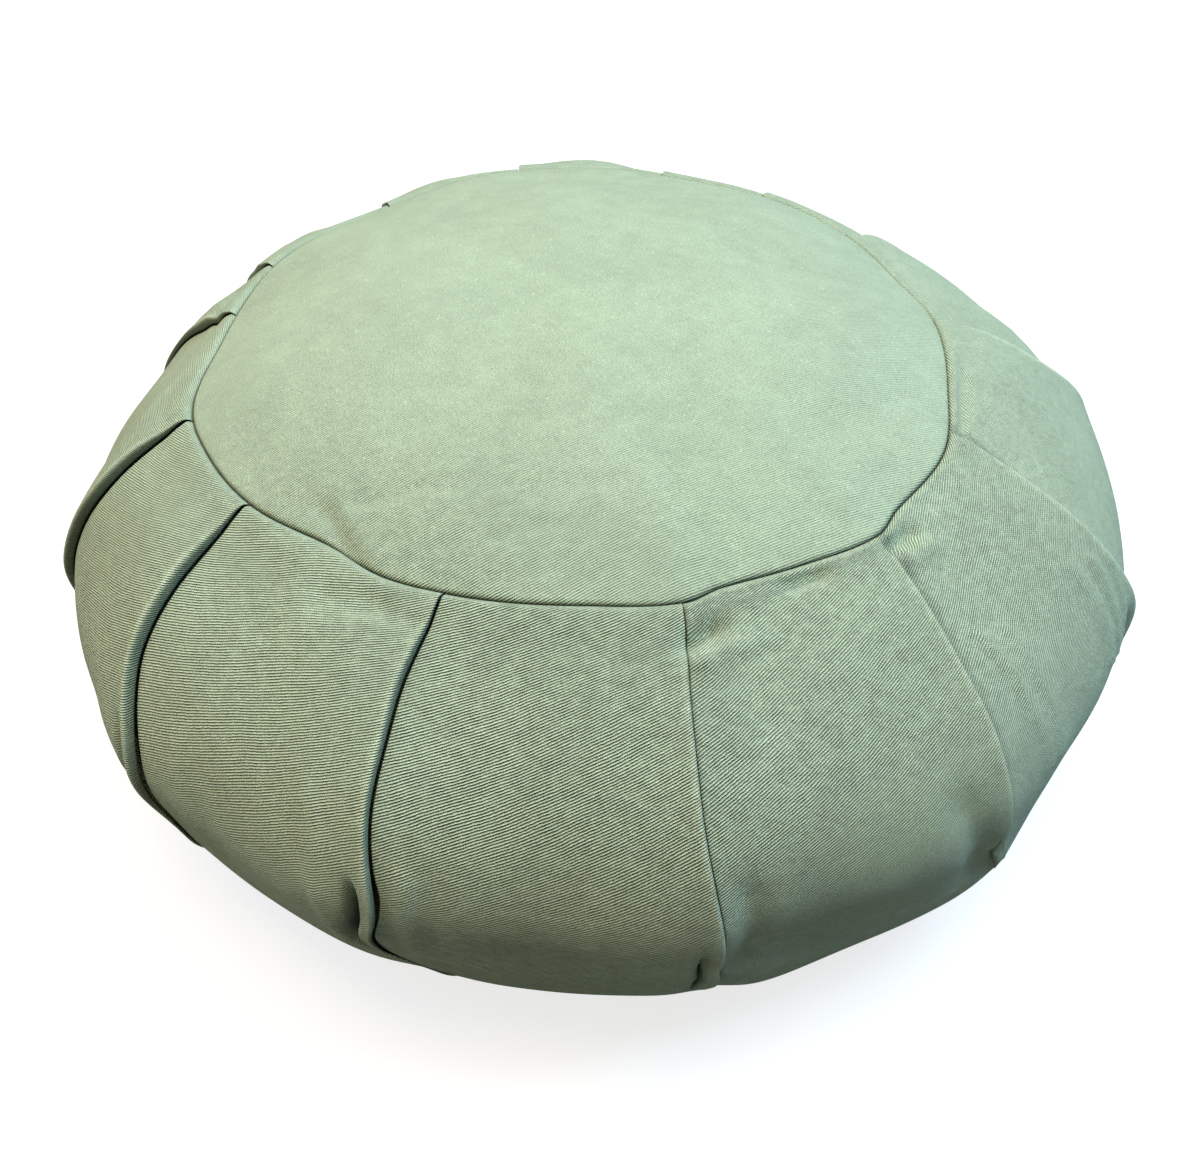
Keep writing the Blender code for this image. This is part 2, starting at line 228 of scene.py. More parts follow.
# ---- how the cloth lies ------------
# A pair of numbers is a span, over which something sets in or fades out.
MEAN_BOW = 0.62               # keeps the side's mean radius when its panels are flattened
PANEL_FREE = (0.02, 0.3)      # shares of the way down where a panel's fullness sets in under the seam,
PANEL_HELD = (0.52, 0.78)     # and where it is lost again towards the floor
SEWN_STEP = 0.0009            # the fold's height where it is sewn down,
SEWN_FLAT = 0.35              # the share of it that is left in the seam,
LEAST_STEP = 0.4 * SEWN_STEP  # and its least height anywhere
FOLD_BEND = 0.28              # the fold is rounded over this share of its height,
FOLD_BEND_BY_ROLL = 0.12      # and this much more for each millimetre of roll
FOLD_OPENS = (-0.01, 0.13)    # shares of the way down where it opens under the seam;
FOLD_CLOSES = (-0.18, 0.0)    # counted from its end, it closes here,
FOLD_FADES = (-0.10, 0.02)    # and the crease beside it fades here
RISE_SPAN = (0.35, 0.8)       # shares of the way across a panel where the cloth rises before it rolls,
RISE_SHARE = 0.5              # by this share of the roll,
ROLL_SPAN = (0.72, 1.0)       # and where it rolls down to the folded edge
SWING_AT = 0.12               # the swing is widest at this share of the way down,
SWING_REACH = 0.07            # and reaches this far each way
SWAY_REACH = 11.0             # the sway reaches this many millimetres each way of "at",
TURN_SPAN = (6.0, 28.0)       # and the turn sets in this far under it
CREASE_DEPTH = 0.0014         # the cloth dives this deep where it runs in under a fold,
CREASE_WIDTH = 0.0006         # over this width
PAINTED_CREASE_FADE = (0.1, 0.9)      # shares of that width where its painted black shade fades
CREASE_MARGIN = 1.25          # a panel's even columns start this many widths from the fold
CREASE_ENDS = 0.5             # how fast a crease of the tables fades past its ends, against its sides
SHADOW_SHADE = 0.5            # how dark the soft shadow beside a fold is,
SHADOW_FADE = (0.35, 1.0)     # and the shares of its reach where it fades
LEAST_SHADOW = 0.1            # millimetres, so that no reach is 0
HOLLOW_GROWS = (0.0, 13.0)    # millimetres under "from" where a hollow deepens,
HOLLOW_FADES = (-14.0, 4.0)   # and round "ends" where it is lost
CORE_SHARE = 0.9              # its core is painted in shade this wide, and this far from the rib, in shares of "far", and painted fully black if the hollow is this many millimetres deep
CORE_ASIDE = 0.5              # and this far from the rib, in shares of "far",
CORE_FULL = 9.0               # and fully dark if the hollow is this many millimetres deep
GAPE_GROWS = (-6.0, 10.0)     # millimetres round "from" where a fold begins to gape,
GAPE_FADES = (108.0, 124.0)   # and down the side where it closes again
# How much painted shade lies along the seam, by azimuth in degrees.
SEAM_SHADES = (
    (0.0, 0.8), (50.0, 0.75), (66.0, 0.5), (80.0, 0.2), (110.0, 0.15), (150.0, 0.5), (210.0, 0.7),
    (300.0, 0.8),
)
SEAM_DARK = 0.0005            # the cloth beside it is painted in shade over this width, and the painted shade fades over these shares of it
SEAM_FADE = (0.1, 1.0)        # and fades over these shares of it
EDGE_WEAR_AND_HIGHLIGHT = 0.0011            # the folds are worn paler, and painted with a highlight, over this width, and round the edge until this many times the turn is a right angle
WEAR_AND_HIGHLIGHT_TURN = 1.6               # and round the edge until this many times the turn is a right angle
CLOTH_TOUCH = 0.00045         # air between the fold and the panel under it
TUCK = 0.0050                 # how far the panel starts under the fold before it
LIP = 0.0015                  # the cloth rolls into a seam over this length,
TOP_LIP = 0.0010              # the top panel over this one,
LIP_DEPTH = 0.0014            # and both this deep
SEAM_GAP = 0.0004             # between the top panel's rim and the side,
BOTTOM_GAP = 3 * GAP          # and round the bottom panel
SEAM_HOLDS = (0.0, 0.004)     # the seam holds folds and creases down over this length,
FILLING_GROWS = (0.0, 0.03)   # and the filling over this one
SEAM_PUFF = 0.0007            # the side stands up beside its seam,
PUFF_GROWS = (0.0, 0.002)     # from here down
PUFF_FADES = (0.003, 0.012)   # to here
PULL_FADES = (0.0, 0.35)      # shares of the way down where the seam's pull out of its circle is lost,
RISE_FADES = (0.0, 0.3)       # and its pull up
RISE_POWER = 4                # the top panel follows it by this power of the way out to its rim
SWELL = 0.0007                # unevenness of the filling: waves of this height, which set in over this
SWELL_GROWS = (0.0, 0.02)     # length from the seam
SIDE_SWELL = 0.055            # their length on the side
TOP_SWELL = 0.06              # and on the top,
SWELL_LENGTHS = (0.7, 1.6)    # times from the first to the second of these
SWELL_WAVES = 20
SWELL_SEED = 7
SWELL_PEAK = 1.2              # brings their sum to about 1

# ---- the meshes ------------
PANEL_COLUMNS = 46
EDGE_CROWDING = 0.75          # 0 spaces the columns evenly, 1 crowds them at the folds
CREASE_STEPS = (0.0, 0.3, 0.6, 0.9)                # columns in a crease, as shares of its width
# The columns round a folded edge: degrees of turn, and how much of the pleat's painted shade they take.
FOLD_TURN = ((22, 0.06), (45, 0.22), (68, 0.42), (90, 0.56))
# The columns down its end: share of the way down, millimetres back, and how much of the painted shade.
FOLD_WALL = ((0.45, 0.0, 0.62), (0.8, 0.0, 0.72), (1.0, 0.05, 0.9), (1.0, 0.35, 1.0))
SIDE_ROWS = 104
FLAT_ROWS = 7                 # of them on the part that lies on the floor,
LAST_SHOWN = 0.80             # from this share of the way down
LIP_ROWS = (0.0, 0.12, 0.3, 0.6, 1.0, 1.4, 1.9)    # shares of LIP
CLOTH_JUMP = 0.0731           # the cloth's pattern starts this much further on for each panel
UNDER_RINGS = 6
TOP_RINGS = 72
LIP_CLEAR = 0.004             # share of the radius between the last even ring and those of the lip
AROUND_TOP = 256
AROUND_BOTTOM = 168
BOTTOM_RINGS = (0.25, 0.5, 0.75, 0.93, 1.0)        # shares of its radius

# ---- the camera ------------
CAMERA_AT = (-0.0014, -0.3177, 0.3348)
CAMERA_DOWN = 45.1            # degrees below level
CAMERA_ROLL = -1.29           # degrees
LENS = 34.7                   # millimetres, on a sensor of this width
SENSOR = 36.0


def smooth(low, high, value):
    """0 below low, 1 above high, and an even curve between."""
    share = np.clip((np.asarray(value, float) - low) / (high - low), 0.0, 1.0)
    return share * share * (3.0 - 2.0 * share)


def smooth_from(start, span, value):
    """The same curve, over a span that is counted from a start."""
    return smooth(start + span[0], start + span[1], value)


def through(places, values, at):
    """A smooth curve through values at rising places, read at each of at."""
    places = np.asarray(places, float)
    values = np.asarray(values, float)
    at = np.asarray(at, float)
    slopes = np.empty(len(places))
    slopes[1:-1] = (values[2:] - values[:-2]) / (places[2:] - places[:-2])
    slopes[0] = (values[1] - values[0]) / (places[1] - places[0])
    slopes[-1] = (values[-1] - values[-2]) / (places[-1] - places[-2])
    i = np.clip(np.searchsorted(places, at, side="right") - 1, 0, len(places) - 2)
    step = places[i + 1] - places[i]
    t = (at - places[i]) / step
    return (
        (2 * t**3 - 3 * t**2 + 1) * values[i]
        + (t**3 - 2 * t**2 + t) * slopes[i] * step
        + (3 * t**2 - 2 * t**3) * values[i + 1]
        + (t**3 - t**2) * slopes[i + 1] * step
    )


def round_and_round(table, azimuth):
    """A smooth closed curve through a table of (azimuth, value), read at azimuths in degrees."""
    places = [a for a, _ in table]
    values = [v for _, v in table]
    places = [a - 360.0 for a in places] + places + [a + 360.0 for a in places]
    return through(places, values * 3, np.mod(azimuth, 360.0))


def rounded(values, window):
    """Values along a line, each averaged with its neighbours; the two ends stay where they are."""
    weights = np.hanning(2 * window + 3)[1:-1]
    before = 2 * values[0] - values[window:0:-1]
    after = 2 * values[-1] - values[-2 : -window - 2 : -1]
    return np.convolve(np.concatenate((before, values, after)), weights / weights.sum(), "valid")


def side_outline(steps=400):
    """The side's mean section as arrays: share of its length, radius, height, and the whole length."""
    turn = np.linspace(0.0, math.pi / 2, steps + 1)
    out = np.sin(turn) ** (2 / SHOULDER_POWER)
    up = np.cos(turn) ** (2 / SHOULDER_POWER)
    upper_r = SEAM_RADIUS + (BELLY_RADIUS - SEAM_RADIUS) * out
    upper_z = BELLY_HEIGHT + (SEAM_HEIGHT - BELLY_HEIGHT) * up
    down = np.sin(turn) ** (2 / UNDERSIDE_POWER)
    back = np.clip(np.cos(turn), 0.0, 1.0) ** (2 / UNDERSIDE_POWER)
    lower_r = FLOOR_RADIUS + (BELLY_RADIUS - FLOOR_RADIUS) * back
    lower_z = BELLY_HEIGHT * (1.0 - down)
    radius = np.concatenate((upper_r, lower_r[1:], [BOTTOM_SEAM_RADIUS]))
    height = np.concatenate((upper_z, lower_z[1:], [0.0]))
    length = np.concatenate(([0.0], np.cumsum(np.hypot(np.diff(radius), np.diff(height)))))
    even = np.linspace(0.0, length[-1], 2 * steps + 1)
    window = round(BELLY_ROUNDING / length[-1] * 2 * steps)
    radius = rounded(np.interp(even, length, radius), window)
    height = rounded(np.interp(even, length, height), window)
    return even / even[-1], radius, height, length[-1]


SHARE, OUTLINE_RADIUS, OUTLINE_HEIGHT, SIDE_LENGTH = side_outline()


def section(s):
    """Radius, height and outward normal (r, z) of the mean section at shares s of the way down."""
    reach = 0.004
    radius = np.interp(s, SHARE, OUTLINE_RADIUS)
    height = np.interp(s, SHARE, OUTLINE_HEIGHT)
    above = np.clip(s - reach, 0.0, 1.0)
    below = np.clip(s + reach, 0.0, 1.0)
    run_r = np.interp(below, SHARE, OUTLINE_RADIUS) - np.interp(above, SHARE, OUTLINE_RADIUS)
    run_z = np.interp(below, SHARE, OUTLINE_HEIGHT) - np.interp(above, SHARE, OUTLINE_HEIGHT)
    run = np.hypot(run_r, run_z)
    return radius, height, -run_z / run, run_r / run


def pleat_azimuth(index, s):
    """Azimuth in degrees of pleat index at shares s down the side; it keeps growing past a full turn."""
    turns, row = divmod(index, len(PLEATS))
    pleat = PLEATS[row]
    places = [*STATION_AT.values(), 1.0]
    values = [pleat[name] for name in STATION_AT] + [pleat["foot"]]
    down = np.asarray(s) * SIDE_LENGTH / MM
    below = down - pleat["at"]
    swing = pleat["swing"] * np.exp(-(((np.asarray(s) - SWING_AT) / SWING_REACH) ** 2))
    sway = pleat["sway"] * np.exp(-((below / SWAY_REACH) ** 2))
    aside = swing + sway + pleat["turn"] * smooth(*TURN_SPAN, below)
    return 360.0 * turns + through(places, values, s) + aside


def seam_out(azimuth):
    """How far the top seam is pulled out of its circle."""
    return MM * round_and_round(SEAM_PULLS, azimuth)


def place(radius, azimuth, height):
    """Polar to world, as an array of points. The axis leans, because the top has slumped to one side."""
    radius, azimuth, height = np.broadcast_arrays(radius, azimuth, height)
    angle = np.radians(azimuth)
    lean = height / SEAM_HEIGHT
    x = BELLY_CENTRE[0] + SEAM_SHIFT[0] * lean + radius * np.sin(angle)
    y = BELLY_CENTRE[1] + SEAM_SHIFT[1] * lean - radius * np.cos(angle)
    return np.stack((x, y, height), axis=-1)


def swell(points, wavelength):
    """Soft, uneven swelling of about -1 to 1, from waves that cross in random directions."""
    draw = np.random.default_rng(SWELL_SEED)
    total = np.zeros(points.shape[:-1])
    for _ in range(SWELL_WAVES):
        direction = draw.normal(size=3)
        direction /= np.linalg.norm(direction)
        length = wavelength * draw.uniform(*SWELL_LENGTHS)
        total += np.sin(points @ direction * (2 * math.pi / length) + draw.uniform(0, 2 * math.pi))
    return total / math.sqrt(SWELL_WAVES) / SWELL_PEAK


# ---- the side band ------------
def fold_opening(pleat, s):
    """How far a fold stands open at shares s down the side: 0 where it is sewn or has died out, else 1."""
    ends = pleat["ends"] * MM / SIDE_LENGTH
    return smooth(*FOLD_OPENS, s) * (1.0 - smooth_from(ends, FOLD_CLOSES, s))


def fold_shown(pleat, s):
    """1 where a fold shows, from the top seam down, and 0 where it has died out."""
    ends = pleat["ends"] * MM / SIDE_LENGTH
    return 1.0 - smooth_from(ends, FOLD_FADES, s)


def chord_height(panel):
    """How far a straight chord across a panel falls short of the round belly."""
    belly = np.array([STATION_AT["belly"]])
    turn = (pleat_azimuth(panel + 1, belly) - pleat_azimuth(panel, belly))[0]
    return BELLY_RADIUS * (1.0 - math.cos(math.radians(turn) / 2))


def stand_out(panel, across, s):
    """How far the cloth stands out of the mean section: the fold's lap and the panel's fullness."""
    start = PLEATS[panel % len(PLEATS)]
    end = PLEATS[(panel + 1) % len(PLEATS)]
    lap_start = SEWN_STEP + (MM * start["lap"] - SEWN_STEP) * fold_opening(start, s)
    lap_end = SEWN_STEP + (MM * end["lap"] - SEWN_STEP) * fold_opening(end, s)
    lap = (lap_end * across - lap_start * (1.0 - across)) / 2
    bow = 4.0 * across * (1.0 - across)
    fullness = MM * start["puff"] * bow + start["flat"] * chord_height(panel) * (MEAN_BOW - bow)
    free = smooth(*PANEL_FREE, s) * (1.0 - smooth(*PANEL_HELD, s))
    droop = MM * end["roll"] * (smooth(*ROLL_SPAN, across) - RISE_SHARE * smooth(*RISE_SPAN, across))
    droop = droop * fold_opening(end, s)
    return lap + fullness * free - droop


def turned_by(azimuth, centre):
    """Degrees from centre to azimuth the short way round."""
    return np.mod(azimuth - centre + 180.0, 360.0) - 180.0


def filling(azimuth, height):
    """How far the filling stands out, from the table of lumps."""
    total = 0.0 * azimuth * height
    for lump in LUMPS:
        side = turned_by(azimuth, lump["azimuth"]) / lump["degrees"]
        up = (height / MM - lump["height"]) / lump["tall"]
        total += MM * lump["out"] * np.exp(-(side**2) - up**2)
    return total


def crease_lift(x, y, run_x, run_y, out, wide):
    """A soft ridge or trough on the line from (0, 0) to (run_x, run_y), all in millimetres."""
    length = math.hypot(run_x, run_y)
    along = (x * run_x + y * run_y) / length
    aside = (x * run_y - y * run_x) / length
    beyond = np.maximum(0.0, np.maximum(-along, along - length))
    return MM * out * np.exp(-(aside**2 + CREASE_ENDS * beyond**2) / wide**2)


def hand_placed(azimuth, down, radius):
    """Troughs and ridges of the side, as listed in the table. down is in millimetres."""
    total = 0.0 * azimuth * down
    degree = np.radians(1.0) * radius / MM
    for crease in CREASES:
        x = turned_by(azimuth, crease["azimuth"]) * degree
        middle = np.radians(1.0) * np.interp(
            0.5 * (crease["down"] + crease["to_down"]) * MM, SHARE * SIDE_LENGTH, OUTLINE_RADIUS
        )
        run_x = turned_by(crease["to_azimuth"], crease["azimuth"]) * middle / MM
        run_y = crease["to_down"] - crease["down"]
        total += crease_lift(x, down - crease["down"], run_x, run_y, crease["out"], crease["wide"])
    return total


def crease_width(pleat, s):
    """How wide the crease beside a fold is: wider at the slot by its foot."""
    below = s * SIDE_LENGTH / MM - pleat["slot_at"]
    return CREASE_WIDTH + MM * pleat["wider"] * np.exp(-((below / pleat["tall"]) ** 2))


def hollows(panel, behind, beyond, s):
    """What the folds hollow out of a panel: the hollow behind its own fold's foot, and the crease where it
    runs in under the fold before it. With it comes the painted shade of the hollow's core.

    behind is how far the cloth is from its own fold's edge, and beyond how far from the other's.
    """
    down = s * SIDE_LENGTH / MM
    end = PLEATS[(panel + 1) % len(PLEATS)]
    deepening = smooth_from(end["from"], HOLLOW_GROWS, down)
    deepening = deepening * (1.0 - smooth_from(end["ends"], HOLLOW_FADES, down))
    aside = behind / MM - end["behind"]
    half = np.where(aside > 0.0, end["far"], end["near"])
    hollow = end["hollow"] * deepening * np.exp(-((aside / half) ** 2))
    start = PLEATS[panel % len(PLEATS)]
    slot = start["slot"] * np.exp(-(((down - start["slot_at"]) / start["tall"]) ** 2))
    depth = CREASE_DEPTH * fold_shown(start, s) + MM * slot
    crease = depth * (1.0 - smooth(0.0, 1.0, beyond / crease_width(start, s)))
    # Painted shade in the hollow's core.
    core_shade = np.exp(-(((aside / end["far"] - CORE_ASIDE) / CORE_SHARE) ** 2))
    core_shade = core_shade * min(1.0, end["hollow"] / CORE_FULL)
    return -MM * hollow - crease, end["painted_dark"] * core_shade * deepening**2


def gape(panel, down):
    """How far the fold that ends a panel stands off the next panel near the foot."""
    pleat = PLEATS[(panel + 1) % len(PLEATS)]
    near = smooth_from(pleat["from"], GAPE_GROWS, down / MM)
    return MM * pleat["gape"] * near * (1.0 - smooth(*GAPE_FADES, down / MM))


def seam_up(azimuth):
    """How far the top seam is pulled up."""
    return MM * round_and_round(SEAM_RISES, azimuth)


def seam_shade(azimuth, away):
    """The painted shade on the cloth this far away from the top seam."""
    return round_and_round(SEAM_SHADES, azimuth) * (1.0 - smooth(*SEAM_FADE, away / SEAM_DARK))


def rolled_in(away, lip):
    """How deep the cloth has rolled into a seam, this far away from it."""
    rolled = np.clip(1.0 - away / lip, 0.0, 1.0)
    return LIP_DEPTH * (1.0 - np.sqrt(1.0 - rolled**2))


def crown_height(share, azimuth, under=0.0):
    """Height of the crown at shares of the way out to its seam, or of what lies so far under it."""
    height = SEAM_HEIGHT + CROWN_RISE * (1.0 - share**CROWN_POWER) - under
    return height + seam_up(azimuth) * share**RISE_POWER


def side_stations():
    """The rows' shares down the side: close together where the cloth rolls into the top seam."""
    lip = np.array(LIP_ROWS) * LIP / SIDE_LENGTH
    shown = np.linspace(lip[-1], LAST_SHOWN, SIDE_ROWS - len(lip) - FLAT_ROWS + 1)
    flat = np.linspace(LAST_SHOWN, 1.0, FLAT_ROWS + 1)
    return np.concatenate((lip, shown[1:], flat[1:]))


def panel_section(panel, s):
    """From the tuck under one fold to the underside of the next, as arrays of rows by columns.

    They are the azimuths, the lifts, the fold's wear with its painted highlight, and the painted shade of
    the creases, the folds' ends and the hollows.
    """
    rows = s[:, None]
    degree = np.degrees(1.0 / section(s)[0][:, None])
    start_pleat = PLEATS[panel % len(PLEATS)]
    end_pleat = PLEATS[(panel + 1) % len(PLEATS)]
    first = pleat_azimuth(panel, s)[:, None]
    last = pleat_azimuth(panel + 1, s)[:, None]
    end_lift = stand_out(panel, 1.0, rows)
    step = end_lift - stand_out(panel + 1, 0.0, rows) - CLOTH_TOUCH - gape(panel, rows * SIDE_LENGTH)
    step = np.maximum(step, LEAST_STEP)
    bend = step * (FOLD_BEND + FOLD_BEND_BY_ROLL * end_pleat["roll"])
    t = np.linspace(0.0, 1.0, PANEL_COLUMNS - len(CREASE_STEPS))[None, :]
    crowded = t - EDGE_CROWDING * np.sin(2 * math.pi * t) / (2 * math.pi)
    width = crease_width(start_pleat, rows)
    steps = width * np.array(CREASE_STEPS)[None, :]
    edge = last - bend * degree
    near = first + CREASE_MARGIN * width * degree
    shown_cloth = np.concatenate((first + steps * degree, near + crowded * (edge - near)), axis=1)
    across = (shown_cloth - first) / (edge - first)
    azimuth = [first - TUCK * degree, first - 0.5 * TUCK * degree, shown_cloth]
    behind = (last - shown_cloth) / degree
    beyond = (shown_cloth - first) / degree
    tucked_lift = stand_out(panel, 0.0, rows) + hollows(panel, 1.0, 0.0, rows)[0]
    sunk, core_shade = hollows(panel, behind, beyond, rows)
    lift = [tucked_lift, tucked_lift, stand_out(panel, across, rows) + sunk]
    opening = fold_opening(end_pleat, rows)
    # The folded edge is made paler: partly wear, partly a painted highlight.
    wear_and_highlight = [0.0 * rows, 0.0 * rows, opening * np.exp(-(((behind - bend) / EDGE_WEAR_AND_HIGHLIGHT) ** 2))]
    # Painted shade: the crease where this panel runs in under the fold before it, and the soft shadow
    # beside that fold.
    shown = start_pleat["painted_dark"] * fold_shown(start_pleat, rows)
    crease = 1.0 - smooth(*PAINTED_CREASE_FADE, beyond / width)
    reach = MM * max(start_pleat["shadow"], LEAST_SHADOW)
    shadow = SHADOW_SHADE * (1.0 - smooth(*SHADOW_FADE, beyond / reach))
    painted_shade = [shown, shown, np.maximum(core_shade, shown * np.maximum(crease, shadow))]
    end_painted_dark = end_pleat["painted_dark"] * fold_shown(end_pleat, rows)
    for turn, painted_dark in FOLD_TURN:
        angle = math.radians(turn)
        azimuth.append(last - bend * (1.0 - math.sin(angle)) * degree)
        lift.append(end_lift - bend * (1.0 - math.cos(angle)))
        wear_and_highlight.append(opening * max(0.0, math.cos(min(WEAR_AND_HIGHLIGHT_TURN * angle, math.pi / 2))))
        painted_shade.append(painted_dark * end_painted_dark)
    for share, back, painted_dark in FOLD_WALL:
        azimuth.append(last - MM * back * degree)
        lift.append(end_lift - bend - share * (step - bend))
        wear_and_highlight.append(0.0 * rows)
        painted_shade.append(painted_dark * end_painted_dark)
    azimuth.append(last - (bend + 0.5 * TUCK) * degree)
    lift.append(end_lift - step)
    wear_and_highlight.append(0.0 * rows)
    painted_shade.append(end_painted_dark)
    return [np.concatenate(part, axis=1) for part in (azimuth, lift, wear_and_highlight, painted_shade)]


def side_grid(s):
    """Points of the side's outer face, rows by columns, with their azimuths, wear with a painted highlight,
    and painted shade.
    """
    sections = [panel_section(panel, s) for panel in range(len(PLEATS))]
    azimuth, lift, wear_and_highlight, painted_shade = (np.concatenate(part, axis=1) for part in zip(*sections))
    radius, height, normal_r, normal_z = (a[:, None] for a in section(s))
    down = s[:, None] * SIDE_LENGTH
    painted_shade = np.maximum(painted_shade, seam_shade(azimuth, down))
    lift = lift * (SEWN_FLAT + (1.0 - SEWN_FLAT) * smooth(*SEAM_HOLDS, down))
    lift = lift - rolled_in(down, LIP)
    lift = lift + SEAM_PUFF * smooth(*PUFF_GROWS, down) * (1.0 - smooth(*PUFF_FADES, down))
    height = height + seam_up(azimuth) * (1.0 - smooth(*RISE_FADES, s[:, None]))
    lift = lift + hand_placed(azimuth, down / MM, radius) * smooth(*SEAM_HOLDS, down)
    lift = lift + filling(azimuth, height) * smooth(*FILLING_GROWS, down)
    loose = place(radius, azimuth, height)
    lift = lift + SWELL * swell(loose, SIDE_SWELL) * smooth(*SWELL_GROWS, down)
    out = radius + normal_r * lift + seam_out(azimuth) * (1.0 - smooth(*PULL_FADES, s[:, None]))
    return place(out, azimuth, np.maximum(0.0, height + normal_z * lift)), azimuth, wear_and_highlight, painted_shade


def ring_faces(rows, columns):
    """Quads between rows of a grid of points that closes on itself sideways."""
    r, c = np.meshgrid(np.arange(rows - 1), np.arange(columns), indexing="ij")
    after = (c + 1) % columns
    low = (r + 1) * columns
    return np.stack((r * columns + c, low + c, low + after, r * columns + after), -1).reshape(-1, 4)


def fan(middle, ring):
    """Triangles from a middle point to each step of a closed ring, all given by number."""
    return [(middle, int(a), int(b)) for a, b in zip(ring, np.roll(ring, -1))]


def round_faces(rows, columns):
    """Faces of a round sheet: rings of quads, closed by a fan from the last point, its middle."""
    return ring_faces(rows, columns).tolist() + fan(rows * columns, np.arange(columns))


def cloth_coordinates(points):
    """(u, v) of each point in metres: u along the row from the panel's middle, v up from the bottom."""
    along = np.zeros(points.shape[:2])
    along[:, 1:] = np.cumsum(np.linalg.norm(np.diff(points, axis=1), axis=2), axis=1)
    along -= along[:, [points.shape[1] // 2]]
    up = np.zeros(points.shape[:2])
    up[1:] = -np.cumsum(np.linalg.norm(np.diff(points, axis=0), axis=2), axis=0)
    middle = up[:, [points.shape[1] // 2]]
    return along, middle + 0.0 * along


def mark(piece, **layers):
    """Stores numbers for each point of a piece, for its material to read."""
    for name, values in layers.items():
        layer = piece.data.attributes.new(name, "FLOAT", "POINT")
        layer.data.foreach_set("value", np.asarray(values, np.float32))


def mesh_from(name, points, faces, uv):
    """A smooth mesh object from arrays; uv holds a pair for each corner of each face."""
    mesh = bpy.data.meshes.new(name)
    mesh.from_pydata(points.tolist(), [], faces)
    mesh.shade_smooth()
    layer = mesh.uv_layers.new(name="cloth")
    layer.data.foreach_set("uv", np.asarray(uv, np.float32).ravel())
    mesh.update()
    piece = bpy.data.objects.new(name, mesh)
    bpy.context.scene.collection.objects.link(piece)
    return piece


def make_pleated_side():
    """The filled body: the pleated band, closed by a crown under the top panel and a flat base."""
    s = side_stations()
    outer, azimuth, wear_and_highlight, painted_shade = side_grid(s)
    columns = outer.shape[1]
    wide = columns // len(PLEATS)
    rim = SEAM_RADIUS + seam_out(azimuth[0])
    crown = [
        place(rim * share, azimuth[0], crown_height(share, azimuth[0], RECESS))
        for share in np.linspace(0.0, 1.0, UNDER_RINGS + 1)[1:]
    ]
    base = outer[-1].copy()
    base[:, 2] = RECESS
    base_rings = [base, base * 0.5 + 0.5 * base.mean(axis=0)]
    grid = np.concatenate((crown, outer, base_rings))
    top = place(np.zeros(1), np.zeros(1), np.array([SEAM_HEIGHT + CROWN_RISE - RECESS]))
    bottom = base.mean(axis=0, keepdims=True)
    points = np.concatenate((grid.reshape(-1, 3), top, bottom))
    quads = ring_faces(len(grid), columns)
    first_ring = np.arange(columns)
    last_ring = first_ring + (len(grid) - 1) * columns
    caps = fan(len(points) - 2, first_ring)
    caps += [(middle, after, before) for middle, before, after in fan(len(points) - 1, last_ring)]
    uv = np.zeros((len(quads), 4, 2))
    for panel in range(len(PLEATS)):
        low = panel * wide
        own = [*range(low, low + wide), (low + wide) % columns]
        along, up = cloth_coordinates(outer[:, own])
        cloth = np.stack((along + CLOTH_JUMP * panel, up), -1)
        for row in range(len(s) - 1):
            start = (row + len(crown)) * columns + low
            corners = cloth[row, :-1], cloth[row + 1, :-1], cloth[row + 1, 1:], cloth[row, 1:]
            uv[start : start + wide] = np.stack(corners, 1)
    flat_uv = np.concatenate((uv.reshape(-1, 2), np.zeros((len(caps) * 3, 2))))
    piece = mesh_from("side_band", points, quads.tolist() + caps, flat_uv)
    marks = np.zeros((2, len(points)))
    marks[:, len(crown) * columns : len(crown) * columns + wear_and_highlight.size] = wear_and_highlight.ravel(), painted_shade.ravel()
    towards = np.degrees(np.arctan2(points[:, 0] - BELLY_CENTRE[0], -points[:, 1]))
    mark(piece, worn_edge_and_highlight=marks[0], painted_shade=marks[1], crisp=round_and_round(SIDE_CRISP, towards))
    return piece


# ---- the round panels ------------
def top_lift(points):
    """Soft troughs and ridges of the top panel."""
    x, y = points[..., 0] / MM, points[..., 1] / MM
    total = 0.0 * x
    for crease in TOP_CREASES:
        run_x, run_y = crease["to_x"] - crease["x"], crease["to_y"] - crease["y"]
        total += crease_lift(x - crease["x"], y - crease["y"], run_x, run_y, crease["out"], crease["wide"])
    return total


